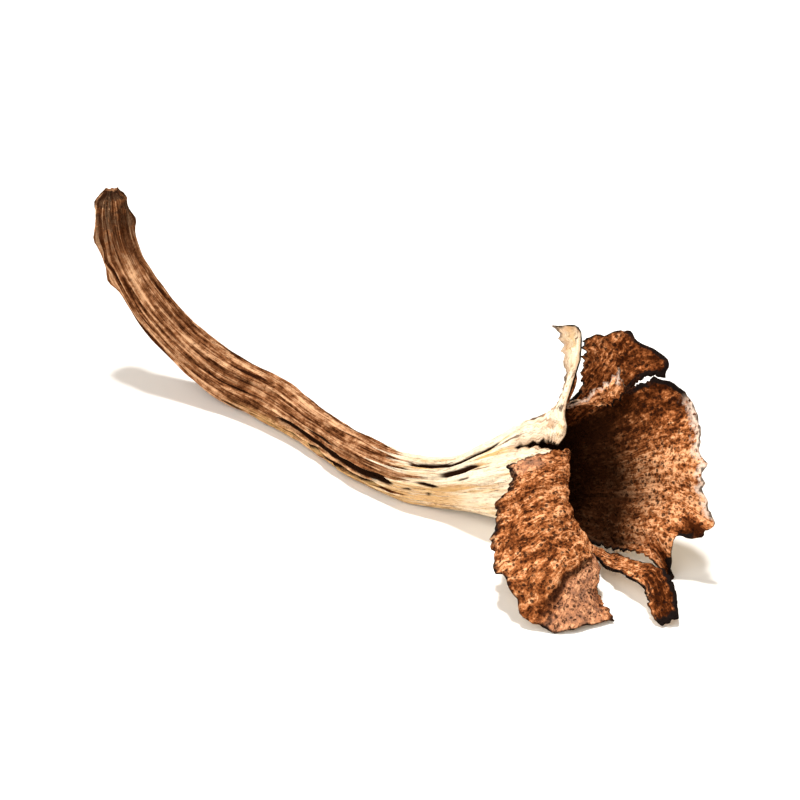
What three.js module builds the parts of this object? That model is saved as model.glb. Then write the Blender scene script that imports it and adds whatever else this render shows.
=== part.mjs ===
// A black trumpet mushroom, picked and lying on its side: a hollow stem that opens into a thin, torn,
// flared mouth. It grew as one piece, so it is one closed body. The hollow of the mouth runs on down
// the stem and ends blind near the foot. Millimetres, +Z up, standing on z = 0.
import * as THREE from "three";

// Driving dimensions
const STEM_WALL = 0.9; // flesh of the stem
const MOUTH_WALL = 0.9; // flesh of the mouth, halfway out
const MARGIN_WALL = 0.6; // flesh at the torn margin
const STEM_WALL_SHARE = 0.8; // share of the stem that keeps the stem's wall
const MOUTH_WALL_SHARE = 0.5; // share of the mouth that keeps the mouth's wall
const FOOT_PLUG = 7; // solid flesh at the foot, below the blind end of the hollow
const STEM_ROWS = 19; // rings of the mesh along the stem
const MOUTH_ROWS = 15; // rings of the mesh from the neck to the margin
const COLUMN_ANGLE = 10.5; // degrees round the neck for one column of the mesh, at most
const MEAN_LINES = 36; // lines round the mushroom whose mean gives the distances along it
const TEAR_EASE = 0.35; // share of the mouth over which the lobes beside a tear part company
const TEAR_GAP = 0.8; // how far each lobe draws back from a tear
const TEAR_TIP = 0.03; // share of the mouth over which a lobe has drawn back
const DRAWN_IN_MOST = 0.25; // share of a lobe's width that it may lose on each side
const CENTRE = new THREE.Vector3(0.4, 3.9, 0); // middle of the outline, brought to the origin

// The stem, from its foot to the neck: the middle of each ring and its outer radius.
const STEM = [
  { at: [-39.8, 41.3, 25.2], radius: 1.7 },
  { at: [-39.6, 40.6, 21.6], radius: 2.1 },
  { at: [-38.6, 38.8, 17.3], radius: 2.4 },
  { at: [-35.6, 35.4, 12.4], radius: 2.6 },
  { at: [-31.3, 32.0, 8.0], radius: 2.8 },
  { at: [-27.2, 29.2, 5.2], radius: 3.0 },
  { at: [-23.2, 26.6, 3.4], radius: 3.1 },
  { at: [-17.2, 21.6, 2.8], radius: 2.9 },
  { at: [-11.2, 14.2, 2.5], radius: 2.6 },
  { at: [-5.2, 6.4, 2.7], radius: 2.8 },
  { at: [1.8, 0.4, 3.0], radius: 3.0 },
  { at: [7.6, -2.2, 3.8], radius: 3.6 },
  { at: [13.0, -4.5, 5.6], radius: 5.2 },
];
const NECK_AXIS = new THREE.Vector3(0.87, -0.28, 0.4).normalize(); // the way the mouth opens
const SIDE = new THREE.Vector3(-0.68, -0.73, 0).normalize(); // the stem's side at 90 degrees

// The mouth is torn into lobes. A lobe is a row of ribs, in order round the neck. A rib starts from
// the neck at an angle (0 is the top, 90 the near side, 180 the floor) and passes four points, the
// last on the margin. "tear" is how far out from the neck the tear after the lobe begins, from 0 to 1.
const LOBES = [
  {
    name: "front lobe, rolled back over the neck",
    tear: 0.32,
    ribs: [
      [36, [18.9, -7.6, 12.6], [22.0, -10.4, 13.6], [18.0, -12.9, 14.8], [14.4, -12.0, 12.4]],
      [62, [18.6, -10.2, 11.4], [22.0, -13.8, 12.8], [18.4, -17.2, 13.2], [13.8, -15.2, 10.0]],
      [88, [18.4, -12.4, 9.0], [21.8, -17.8, 11.0], [17.4, -21.2, 10.6], [11.8, -18.0, 6.8]],
      [115, [19.0, -13.4, 6.2], [23.2, -21.4, 7.8], [18.6, -27.8, 7.6], [12.6, -27.4, 3.8]],
      [136, [20.6, -13.2, 3.8], [25.4, -23.4, 5.2], [22.6, -31.8, 4.4], [18.6, -35.0, 0.4]],
      [154, [22.6, -14.2, 2.0], [26.4, -22.4, 2.9], [27.8, -28.8, 2.2], [28.8, -33.6, 0.2]],
    ],
  },
  {
    name: "strip torn from the floor of the mouth",
    tear: 0.3,
    ribs: [
      [157, [23.4, -14.5, 1.7], [27.6, -21.8, 2.2], [31.6, -28.6, 3.2], [34.2, -34.0, 0.2]],
      [176, [24.9, -14.1, 1.3], [30.8, -19.4, 1.9], [36.4, -26.6, 4.0], [37.4, -33.2, 0.5]],
    ],
  },
  {
    name: "right lobe, the far wall",
    tear: 0.78,
    ribs: [
      [179, [25.2, -13.6, 1.1], [29.2, -16.6, 0.9], [32.2, -18.8, 1.6], [35.2, -21.4, 1.8]],
      [194, [25.4, -11.6, 1.7], [29.8, -14.4, 1.8], [33.4, -17.6, 2.8], [36.8, -21.2, 0.15]],
      [206, [25.2, -9.4, 2.7], [29.8, -13.0, 3.4], [33.8, -16.8, 5.2], [36.8, -19.4, 5.4]],
      [219, [25.2, -7.6, 3.8], [30.6, -11.6, 5.4], [36.4, -16.6, 7.4], [40.8, -20.6, 6.2]],
      [236, [25.0, -6.2, 4.6], [30.8, -9.6, 6.6], [36.8, -14.4, 9.4], [41.4, -19.2, 10.2]],
      [252, [24.8, -4.8, 6.0], [30.6, -7.6, 8.2], [36.4, -12.0, 12.0], [40.8, -16.2, 14.2]],
      [267, [24.4, -3.4, 7.6], [30.0, -5.6, 10.2], [35.8, -9.0, 14.4], [40.4, -12.8, 17.8]],
      [280, [23.8, -2.4, 9.6], [29.2, -3.8, 12.4], [34.8, -6.0, 16.8], [39.2, -8.2, 20.6]],
      [292, [22.8, -1.8, 11.4], [27.9, -2.4, 14.6], [31.6, -3.5, 18.8], [33.8, -4.2, 22.2]],
    ],
  },
  {
    name: "back lobe",
    tear: 0.41,
    ribs: [
      [296, [22.6, -1.6, 11.8], [27.6, -1.5, 15.7], [32.2, -1.3, 20.2], [36.8, -2.4, 19.8]],
      [302, [22.4, -1.5, 12.3], [27.2, -0.9, 16.5], [31.8, -0.7, 20.8], [35.8, -1.3, 22.7]],
      [310, [22.0, -1.4, 12.9], [26.6, -0.4, 17.2], [29.6, 0.6, 21.6], [32.4, 1.0, 24.9]],
      [325, [21.4, -1.2, 13.8], [25.0, 0.2, 17.6], [27.4, 1.6, 21.4], [28.8, 2.6, 24.8]],
      [338, [20.6, -1.2, 14.3], [23.2, 0.8, 17.4], [24.1, 2.3, 20.6], [24.0, 3.0, 23.4]],
    ],
  },
  {
    name: "short flap before the back lobe",
    tear: 0.25,
    ribs: [
      [340, [21.6, -1.9, 13.8], [25.4, -3.2, 15.6], [28.4, -5.2, 16.9], [30.8, -6.0, 19.8]],
      [356, [20.4, -1.4, 14.7], [23.3, -1.8, 16.4], [26.2, -3.0, 19.7], [29.2, -3.8, 23.2]],
    ],
  },
  {
    name: "tongue and the short collar below it",
    tear: 0.21,
    ribs: [
      [357, [20.2, -1.6, 14.9], [21.5, -0.8, 18.2], [21.7, 0.4, 22.0], [19.9, 1.2, 26.0]],
      [368, [20.8, -3.0, 15.1], [23.1, -2.2, 18.6], [23.4, -1.4, 22.2], [24.6, -0.8, 25.6]],
      [376, [20.2, -3.7, 15.1], [21.4, -4.2, 16.0], [22.0, -4.6, 16.6], [22.6, -4.9, 17.2]],
      [386, [19.6, -5.4, 14.2], [20.8, -6.0, 14.8], [21.6, -6.6, 15.0], [22.3, -7.2, 14.9]],
      [394, [18.9, -7.1, 13.1], [19.8, -7.8, 13.4], [20.5, -8.3, 13.5], [21.0, -8.7, 13.4]],
    ],
  },
];

const clamp01 = (x) => Math.min(1, Math.max(0, x));
const ease = (x) => clamp01(x) ** 2 * (3 - 2 * clamp01(x));
const vector = (p) => new THREE.Vector3(...p);
const running = (steps) => steps.reduce((sums, step) => [...sums, sums.at(-1) + step], [0]);

// A smooth curve through points at the given knots, as a function of the knot value.
function curveThrough(knots, points) {
  const last = knots.length - 1;
  const gap = (i) => knots[i + 1] - knots[i];
  const rise = (i) => points[i + 1].clone().sub(points[i]).divideScalar(gap(i));
  const slopes = points.map((_, i) => {
    if (i === 0) return rise(0);
    if (i === last) return rise(last - 1);
    const before = rise(i - 1).multiplyScalar(gap(i));
    return before.add(rise(i).multiplyScalar(gap(i - 1))).divideScalar(gap(i - 1) + gap(i));
  });
  return (x) => {
    let i = knots.findLastIndex((knot) => knot <= x);
    i = Math.min(last - 1, Math.max(0, i));
    const t = (x - knots[i]) / gap(i);
    return new THREE.Vector3()
      .addScaledVector(points[i], 2 * t ** 3 - 3 * t ** 2 + 1)
      .addScaledVector(slopes[i], (t ** 3 - 2 * t ** 2 + t) * gap(i))
      .addScaledVector(points[i + 1], 3 * t ** 2 - 2 * t ** 3)
      .addScaledVector(slopes[i + 1], (t ** 3 - t ** 2) * gap(i));
  };
}

// One line along the stem at an angle round it, in the middle of its wall, up to the neck.
function stemLine(angle) {
  const turn = THREE.MathUtils.degToRad(angle);
  return STEM.map(({ at, radius }, i) => {
    const before = vector(STEM[Math.max(0, i - 1)].at);
    const after = vector(STEM[Math.min(STEM.length - 1, i + 1)].at);
    const along = i === STEM.length - 1 ? NECK_AXIS : after.sub(before).normalize();
    const side = SIDE.clone().addScaledVector(along, -SIDE.dot(along)).normalize();
    const up = side.clone().cross(along);
    const reach = radius - STEM_WALL / 2;
    return vector(at)
      .addScaledVector(up, reach * Math.cos(turn))
      .addScaledVector(side, reach * Math.sin(turn));
  });
}

// The lobes in their final form: the angles they share at each tear, and a curve through each of the
// four points of their ribs, both with the tears open and as if the mouth were whole.
const lobes = LOBES.map((lobe, k) => {
  const next = LOBES[(k + 1) % LOBES.length];
  const before = LOBES.at(k - 1);
  const turnBack = k === 0 ? 360 : 0;
  const turnOn = k === LOBES.length - 1 ? 360 : 0;
  const start = (lobe.ribs[0][0] + before.ribs.at(-1)[0] - turnBack) / 2;
  const end = (lobe.ribs.at(-1)[0] + next.ribs[0][0] + turnOn) / 2;
  const angles = [start, ...lobe.ribs.slice(1, -1).map((rib) => rib[0]), end];
  const torn = [1, 2, 3, 4].map((j) => curveThrough(angles, lobe.ribs.map((rib) => vector(rib[j]))));
  return { start, end, angles, torn, tearBefore: before.tear, tearAfter: lobe.tear };
});
const whole = [0, 1, 2, 3].map((j) => {
  const knots = [];
  const points = [];
  for (const turn of [-360, 0, 360]) {
    lobes.forEach((lobe, k) => {
      const neighbour = lobes.at(k - 1);
      const shared = neighbour.torn[j](neighbour.end).add(lobe.torn[j](lobe.start));
      knots.push(lobe.start + turn, ...lobe.angles.slice(1, -1).map((angle) => angle + turn));
      points.push(shared.divideScalar(2), ...lobe.angles.slice(1, -1).map((angle) => lobe.torn[j](angle)));
    });
  }
  return curveThrough(knots, points);
});

// Distances along the wall at which every line passes its points: the mean of lines all round.
const around = Array.from({ length: MEAN_LINES }, (_, i) => (i * 360) / MEAN_LINES);
const meanLine = around.map((angle) => [...stemLine(angle), ...whole.map((point) => point(angle))]);
const steps = meanLine[0].slice(1).map((_, i) => {
  const lengths = meanLine.map((line) => line[i + 1].distanceTo(line[i]));
  return lengths.reduce((sum, length) => sum + length, 0) / lengths.length;
});
const lineKnots = running(steps);
const neck = lineKnots[STEM.length - 1];
const margin = lineKnots.at(-1);

const rowAt = [
  ...Array.from({ length: STEM_ROWS }, (_, i) => (neck * i) / STEM_ROWS),
  ...Array.from({ length: MOUTH_ROWS + 1 }, (_, i) => neck + ((margin - neck) * i) / MOUTH_ROWS),
];
const share = (s) => (s - neck) / (margin - neck); // 0 at the neck, 1 at the margin

// How far out the tear beside a column begins: it runs from one tear's value to the next one's.
const across = (lobe, angle) => (angle - lobe.start) / (lobe.end - lobe.start);
const tearBeside = (lobe, angle) =>
  THREE.MathUtils.lerp(lobe.tearBefore, lobe.tearAfter, ease(across(lobe, angle)));

// One column of the wall's middle surface, from the foot to the margin.
function column(lobe, angle) {
  const stem = stemLine(angle);
  const shut = curveThrough(lineKnots, [...stem, ...whole.map((point) => point(angle))]);
  const open = curveThrough(lineKnots, [...stem, ...lobe.torn.map((point) => point(angle))]);
  const tear = tearBeside(lobe, angle);
  return rowAt.map((s) => shut(s).lerp(open(s), ease((share(s) - tear) / TEAR_EASE)));
}

// A row of points across a lobe, drawn in at both ends by the given lengths.
function drawnIn(points, atStart, atEnd) {
  const lengths = running(points.slice(1).map((point, i) => point.distanceTo(points[i])));
  const along = curveThrough(lengths, points);
  const most = DRAWN_IN_MOST * lengths.at(-1);
  const [before, after] = [Math.min(atStart, most), Math.min(atEnd, most)];
  const room = 1 - (before + after) / lengths.at(-1);
  return lengths.map((length) => along(before + length * room));
}

// The middle surface as points and quads. Neighbouring lobes share their border up to the tear.
const middle = [];
const grid = []; // per column: the index of each row's point
const addPoint = (point) => middle.push(point) - 1;
const drawBack = (s, tear) => TEAR_GAP * ease((share(s) - tear) / TEAR_TIP);
lobes.forEach((lobe) => {
  const count = Math.ceil((lobe.end - lobe.start) / COLUMN_ANGLE);
  const angles = Array.from({ length: count + 1 }, (_, i) =>
    THREE.MathUtils.lerp(lobe.start, lobe.end, i / count),
  );
  const columns = angles.map((angle) => column(lobe, angle));
  rowAt.forEach((s, row) => {
    const points = columns.map((line) => line[row]);
    const drawn = drawnIn(points, drawBack(s, lobe.tearBefore), drawBack(s, lobe.tearAfter));
    drawn.forEach((point, i) => columns[i].splice(row, 1, point));
  });
  columns.forEach((points, i) => {
    const border = i === 0 && grid.length > 0;
    const closing = lobe === lobes.at(-1) && i === count;
    const shared = border ? grid.at(-1).rows : closing ? grid[0].rows : null;
    const tear = border ? lobe.tearBefore : lobe.tearAfter;
    const rows = points.map((point, row) => {
      if (shared && share(rowAt[row]) <= tear) return shared[row];
      return addPoint(point);
    });
    grid.push({ rows, border });
  });
});

const quads = [];
for (let c = 0; c + 1 < grid.length; c++) {
  if (grid[c + 1].border) continue;
  for (let row = 0; row + 1 < rowAt.length; row++) {
    const [a, b] = [grid[c].rows, grid[c + 1].rows];
    quads.push([a[row], b[row], b[row + 1], a[row + 1]]);
  }
}

// Normals of the middle surface, pointing out of the mushroom.
const normals = middle.map(() => new THREE.Vector3());
for (const [a, b, c, d] of quads) {
  const across = middle[d].clone().sub(middle[b]);
  const normal = middle[c].clone().sub(middle[a]).cross(across);
  for (const corner of [a, b, c, d]) normals[corner].add(normal);
}
normals.forEach((normal) => normal.normalize());

const rowOf = new Map();
for (const { rows } of grid) rows.forEach((point, row) => rowOf.set(point, row));

// How thick the flesh is at a distance along the wall.
function wallAt(s) {
  const fade = (x, start) => ease((x - start) / (1 - start));
  if (s <= neck) return THREE.MathUtils.lerp(STEM_WALL, MOUTH_WALL, fade(s / neck, STEM_WALL_SHARE));
  return THREE.MathUtils.lerp(MOUTH_WALL, MARGIN_WALL, fade(share(s), MOUTH_WALL_SHARE));
}

// Both skins, then the faces: the outer skin, the inner skin turned round, and the torn margin that
// joins them. The foot closes the outer skin, and the blind end of the hollow the inner one.
const count = middle.length;
const skins = [];
for (const side of [1, -1]) {
  middle.forEach((point, i) => {
    const reach = (side * wallAt(rowAt[rowOf.get(i)])) / 2;
    const placed = point.clone().addScaledVector(normals[i], reach);
    placed.z = Math.max(0, placed.z); // flat where it rests
    skins.push(placed);
  });
}
const blindRow = rowAt.findIndex((s) => s >= FOOT_PLUG);
const triangles = [];
const edges = new Map();
for (const [a, b, c, d] of quads) {
  triangles.push([a, b, c], [a, c, d]);
  if (rowOf.get(a) >= blindRow) {
    triangles.push([a + count, c + count, b + count], [a + count, d + count, c + count]);
  }
  for (const [from, to] of [[a, b], [b, c], [c, d], [d, a]]) {
    if (edges.has(`${to} ${from}`)) edges.delete(`${to} ${from}`);
    else edges.set(`${from} ${to}`, [from, to]);
  }
}
const ringEdges = (row) =>
  quads.filter(([a]) => rowOf.get(a) === row).map(([a, b]) => [a, b]);
const addCap = (ring, offset, flip) => {
  const hub = new THREE.Vector3();
  ring.forEach(([from]) => hub.addScaledVector(skins[from + offset], 1 / ring.length));
  const index = skins.push(hub) - 1;
  for (const [from, to] of ring) {
    if (flip) triangles.push([from + offset, to + offset, index]);
    else triangles.push([to + offset, from + offset, index]);
  }
};
addCap(ringEdges(0), 0, false);
addCap(ringEdges(blindRow), count, true);
for (const [from, to] of edges.values()) {
  if (rowOf.get(from) === 0 && rowOf.get(to) === 0) continue;
  triangles.push([to, from, from + count], [to, from + count, to + count]);
}

const geometry = new THREE.BufferGeometry();
const flat = skins.flatMap((point) => point.clone().sub(CENTRE).toArray());
geometry.setAttribute("position", new THREE.Float32BufferAttribute(flat, 3));
geometry.setIndex(triangles.flat());
geometry.computeVertexNormals();

const flesh = new THREE.MeshStandardMaterial({ color: 0x96603c, roughness: 0.8, metalness: 0 });
const mushroom = new THREE.Mesh(geometry, flesh);
mushroom.name = "mushroom";

const part = new THREE.Group();
part.add(mushroom);
export default part;
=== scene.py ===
import math

import bpy
import numpy as np
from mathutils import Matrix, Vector, noise


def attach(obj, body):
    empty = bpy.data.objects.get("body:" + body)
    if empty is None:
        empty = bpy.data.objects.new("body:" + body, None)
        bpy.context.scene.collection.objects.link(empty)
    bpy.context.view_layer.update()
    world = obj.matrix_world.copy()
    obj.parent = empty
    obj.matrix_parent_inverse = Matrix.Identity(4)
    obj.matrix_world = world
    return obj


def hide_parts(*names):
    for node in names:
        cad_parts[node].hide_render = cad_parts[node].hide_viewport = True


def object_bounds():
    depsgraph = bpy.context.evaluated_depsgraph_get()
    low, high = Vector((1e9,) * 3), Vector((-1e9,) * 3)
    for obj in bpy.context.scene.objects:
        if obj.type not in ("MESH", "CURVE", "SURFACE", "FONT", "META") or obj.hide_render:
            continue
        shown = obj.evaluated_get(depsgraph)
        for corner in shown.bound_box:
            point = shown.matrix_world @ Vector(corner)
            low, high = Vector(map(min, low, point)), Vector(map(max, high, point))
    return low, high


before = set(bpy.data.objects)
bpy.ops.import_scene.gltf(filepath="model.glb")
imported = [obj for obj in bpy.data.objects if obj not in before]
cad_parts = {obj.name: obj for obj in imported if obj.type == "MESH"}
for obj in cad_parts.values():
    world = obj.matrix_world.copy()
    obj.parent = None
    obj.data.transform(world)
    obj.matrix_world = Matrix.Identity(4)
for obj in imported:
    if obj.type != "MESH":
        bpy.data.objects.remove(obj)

bl_info = {
    "name": "Black trumpet mushroom",
    "version": (1, 0, 0),
    "blender": (4, 5, 0),
    "location": "View3D > Sidebar > Mushroom",
    "description": "Builds a picked black trumpet lying on its side, with its flesh and a plain stage",
    "category": "Object",
}

CAD_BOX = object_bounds()
MM = 0.001

# ---------------------------------------- form, in millimetres
# The stem, from its foot to the neck: the middle of each ring, then its outer radius.
STEM = [
    ((-39.8, 41.3, 25.2), 1.7),
    ((-39.6, 40.6, 21.6), 2.1),
    ((-38.6, 38.8, 17.3), 2.4),
    ((-35.6, 35.4, 12.4), 2.6),
    ((-31.3, 32.0, 8.0), 2.8),
    ((-27.2, 29.2, 5.2), 3.0),
    ((-23.2, 26.6, 3.4), 3.1),
    ((-17.2, 21.6, 2.8), 2.9),
    ((-11.2, 14.2, 2.5), 2.6),
    ((-5.2, 6.4, 2.7), 2.8),
    ((1.8, 0.4, 3.0), 3.0),
    ((7.6, -2.2, 3.8), 3.6),
    ((13.0, -4.5, 5.6), 5.2),
]
NECK_AXIS = np.array([0.87, -0.28, 0.4]) / np.linalg.norm([0.87, -0.28, 0.4])
SIDE = np.array([-0.68, -0.73, 0.0]) / np.linalg.norm([-0.68, -0.73, 0.0])
CENTRE = np.array([0.4, 3.9, 0.0])  # middle of the outline, brought to the origin

# The mouth's torn lobes. A rib starts at an angle round the neck (0 top, 90 near, 180 floor) and
# passes four points, the last on the margin. "tear" says how far out the tear after it begins.
LOBES = [
    {  # front lobe, rolled back over the neck
        "tear": 0.32,
        "ribs": [
            (36, (18.9, -7.6, 12.6), (22.0, -10.4, 13.6), (18.0, -12.9, 14.8), (14.4, -12.0, 12.4)),
            (62, (18.6, -10.2, 11.4), (22.0, -13.8, 12.8), (18.4, -17.2, 13.2), (13.8, -15.2, 10.0)),
            (88, (18.4, -12.4, 9.0), (21.8, -17.8, 11.0), (17.4, -21.2, 10.6), (11.8, -18.0, 6.8)),
            (115, (19.0, -13.4, 6.2), (23.2, -21.4, 7.8), (18.6, -27.8, 7.6), (12.6, -27.4, 3.8)),
            (136, (20.6, -13.2, 3.8), (25.4, -23.4, 5.2), (22.6, -31.8, 4.4), (18.6, -35.0, 0.4)),
            (154, (22.6, -14.2, 2.0), (26.4, -22.4, 2.9), (27.8, -28.8, 2.2), (28.8, -33.6, 0.2)),
        ],
    },
    {  # strip torn from the floor of the mouth
        "tear": 0.3,
        "ribs": [
            (157, (23.4, -14.5, 1.7), (27.6, -21.8, 2.2), (31.6, -28.6, 3.2), (34.2, -34.0, 0.2)),
            (176, (24.9, -14.1, 1.3), (30.8, -19.4, 1.9), (36.4, -26.6, 4.0), (37.4, -33.2, 0.5)),
        ],
    },
    {  # right lobe, the far wall
        "tear": 0.78,
        "ribs": [
            (179, (25.2, -13.6, 1.1), (29.2, -16.6, 0.9), (32.2, -18.8, 1.6), (35.2, -21.4, 1.8)),
            (194, (25.4, -11.6, 1.7), (29.8, -14.4, 1.8), (33.4, -17.6, 2.8), (36.8, -21.2, 0.15)),
            (206, (25.2, -9.4, 2.7), (29.8, -13.0, 3.4), (33.8, -16.8, 5.2), (36.8, -19.4, 5.4)),
            (219, (25.2, -7.6, 3.8), (30.6, -11.6, 5.4), (36.4, -16.6, 7.4), (40.8, -20.6, 6.2)),
            (236, (25.0, -6.2, 4.6), (30.8, -9.6, 6.6), (36.8, -14.4, 9.4), (41.4, -19.2, 10.2)),
            (252, (24.8, -4.8, 6.0), (30.6, -7.6, 8.2), (36.4, -12.0, 12.0), (40.8, -16.2, 14.2)),
            (267, (24.4, -3.4, 7.6), (30.0, -5.6, 10.2), (35.8, -9.0, 14.4), (40.4, -12.8, 17.8)),
            (280, (23.8, -2.4, 9.6), (29.2, -3.8, 12.4), (34.8, -6.0, 16.8), (39.2, -8.2, 20.6)),
            (292, (22.8, -1.8, 11.4), (27.9, -2.4, 14.6), (31.6, -3.5, 18.8), (33.8, -4.2, 22.2)),
        ],
    },
    {  # back lobe
        "tear": 0.41,
        "ribs": [
            (296, (22.6, -1.6, 11.8), (27.6, -1.5, 15.7), (32.2, -1.3, 20.2), (36.8, -2.4, 19.8)),
            (302, (22.4, -1.5, 12.3), (27.2, -0.9, 16.5), (31.8, -0.7, 20.8), (35.8, -1.3, 22.7)),
            (310, (22.0, -1.4, 12.9), (26.6, -0.4, 17.2), (29.6, 0.6, 21.6), (32.4, 1.0, 24.9)),
            (325, (21.4, -1.2, 13.8), (25.0, 0.2, 17.6), (27.4, 1.6, 21.4), (28.8, 2.6, 24.8)),
            (338, (20.6, -1.2, 14.3), (23.2, 0.8, 17.4), (24.1, 2.3, 20.6), (24.0, 3.0, 23.4)),
        ],
    },
    {  # short flap before the back lobe
        "tear": 0.25,
        "ribs": [
            (340, (21.6, -1.9, 13.8), (25.4, -3.2, 15.6), (28.4, -5.2, 16.9), (30.8, -6.0, 19.8)),
            (356, (20.4, -1.4, 14.7), (23.3, -1.8, 16.4), (26.2, -3.0, 19.7), (29.2, -3.8, 23.2)),
        ],
    },
    {  # tongue and the short collar below it
        "tear": 0.21,
        "ribs": [
            (357, (20.2, -1.6, 14.9), (21.5, -0.8, 18.2), (21.7, 0.4, 22.0), (19.9, 1.2, 26.0)),
            (368, (20.8, -3.0, 15.1), (23.1, -2.2, 18.6), (23.4, -1.4, 22.2), (24.6, -0.8, 25.6)),
            (376, (20.2, -3.7, 15.1), (21.4, -4.2, 16.0), (22.0, -4.6, 16.6), (22.6, -4.9, 17.2)),
            (386, (19.6, -5.4, 14.2), (20.8, -6.0, 14.8), (21.6, -6.6, 15.0), (22.3, -7.2, 14.9)),
            (394, (18.9, -7.1, 13.1), (19.8, -7.8, 13.4), (20.5, -8.3, 13.5), (21.0, -8.7, 13.4)),
        ],
    },
]

# Slits in the skin of the stem: angle round it, where it starts and ends from the neck, half its
# width, and its depth.
SLITS = [
    (84, -39.0, -13.0, 0.42, 0.80),
    (107, -37.0, -15.0, 0.34, 0.70),
    (58, -33.0, -24.0, 0.18, 0.40),
    (21, -13.5, 4.2, 0.46, 0.75),
    (48, -8.5, 1.5, 0.34, 0.50),
    (72, -11.4, -6.6, 0.22, 0.40),
    (90, -12.9, -10.6, 0.20, 0.35),
    (97, -9.4, -8.0, 0.30, 0.30),
    (64, -4.6, -0.8, 0.20, 0.30),
    (250, -30.0, -12.0, 0.36, 0.60),
    (205, -50.0, -34.0, 0.30, 0.50),
    (318, -24.0, -8.0, 0.30, 0.50),
]
SLIT_TAPER, TAPER_SHARE = 3.0, 0.35  # longest taper of a slit's ends, and as a share of the slit
SLIT_WANDER, SLIT_LEAST = 0.35, 0.05  # how far a slit wanders, and the least half width of its ends
# Knobs where bits of root broke off near the foot: angle, distance from the foot, height, size.
KNOBS = [
    (122, 6.5, 0.75, 1.3),
    (96, 9.6, 0.55, 1.0),
    (140, 11.8, 0.7, 1.2),
    (40, 3.0, 0.5, 1.1),
    (300, 5.0, 0.6, 1.2),
    (215, 9.0, 0.6, 1.3),
    (165, 2.2, 0.6, 1.0),
    (350, 13.0, 0.4, 1.0),
]
# Bites out of the edge of a tear: angle of the tear, how far out, half length, depth in tear gaps.
BITES = [
    (155.5, 0.78, 0.07, 1.3),
    (155.5, 0.97, 0.06, -1.0),
    (35.0, 0.5, 9.0, -0.7),
    (294.0, 0.5, 9.0, -0.75),
]

WALL, MARGIN_WALL = 0.9, 0.42  # thickness of the flesh, and of the mouth's margin
THINS_FROM = 0.5  # share of the mouth's length beyond which the flesh thins towards the margin
TORN_WALL = 0.45  # share of its thickness that the flesh has left at an edge
EDGE_RELIEF, EDGE_SOFT = 0.3, 1.2  # share of the relief at an edge, and how far in it is full
HOLLOW_DEPTH = 16.0  # how far down the stem the hollow is followed
TEAR_EASE, TEAR_TIP = 0.35, 0.03  # shares of the mouth over which lobes part, and draw back
DRAWN_IN_MOST = 0.25  # share of its width that a lobe may lose on each side
FAR = 99.0  # distance to a tear, where there is none
STEM_ROWS, MOUTH_ROWS = 120, 124  # rings of the mesh along the stem and the mouth
COLUMN_ANGLE = 1.55  # most degrees round the neck between two columns of the mesh

# The crease across the front lobe: its angle and width in degrees, the share of the mouth's length
# where it crosses that angle, and how far it leans.
FOLD_ANGLE, FOLD_WIDTH, FOLD_OUT, FOLD_LEAN = 134, 5.0, 0.75, 1.5
FOLD_START, FOLD_END = (0.48, 0.12), (1.02, 0.16)  # shares of that length, and how softly
FOLD_STEP, FOLD_REACH = 0.55, 16  # height of the step beside it, and how many degrees it reaches
STRIP_END, STRIP_SOFT = 190, 30  # the angle beyond which the step is gone, and how softly

# Relief drawn out along the growth: how far, the radius it is laid round, lump size, seed, height.
GRAIN_RADIUS, GRAIN_STRETCH = 14.0, 8.0
LAYERS = {
    "ruffle": (3.0, GRAIN_RADIUS, 3.4, 8.0, 0.9),
    "fine ruffle": (2.0, GRAIN_RADIUS, 1.5, 5.0, 0.45),
    "cords": (16.0, 9.0, 1.15, 1.0, 0.5),
    "stem fibres": (9.0, 9.0, 0.42, 2.0, 0.2),
    "veins": (7.0, GRAIN_RADIUS, 1.9, 11.0, 0.432),
    "fine veins": (5.0, GRAIN_RADIUS, 0.7, 12.0, 0.10),
    "crumbs": (1.2, 3.0, 0.8, 21.0, 0.7),
    "inner fibres": (9.0, GRAIN_RADIUS, 0.75, 31.0, 0.13),
    "inner ribs": (12.0, GRAIN_RADIUS, 2.1, 32.0, 0.26),
}
VEIN_TOP = 0.18  # height of the crest of a vein
RUFFLE_REACH = 5.0  # how far in from an edge the wall is ruffled
# Dents in the wall, the wavering of the stem along its length, and grit: lump size, seed, height.
DENTS = [(7.0, 2.0, 0.55), (3.2, 4.0, 0.22)]
STEM_BEND, GRIT = (9.0, 6.0, 0.2), (0.55, 33.0, 0.07)
# Raggedness of the margin: lump size, seed, share of the whole.
RAGS = [(2.6, 3.1, 0.5), (0.9, 7.7, 0.32), (0.42, 1.7, 0.18)]
EATEN_MEAN, EATEN_SWING, EATEN_LEAST = 0.2, 0.95, -0.25  # shares of the most that is eaten away
# Jags along a tear: how many a millimetre, seed, depth in tear gaps.
JAGS = [(0.9, 5.0, 0.8), (2.9, 9.0, 0.5)]
LEAST_GAP = 0.1  # the least that a lobe draws back from a tear, in tear gaps
STEM_SKIN, NECK_SKIN = 2.9, 5.5  # radius of the outer skin on the stem and at the neck
CRUMBLED, ROUNDED, ROUNDED_DEPTH = 4.0, 1.3, 1.05  # how far the foot's end is crumbled and rounded

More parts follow.
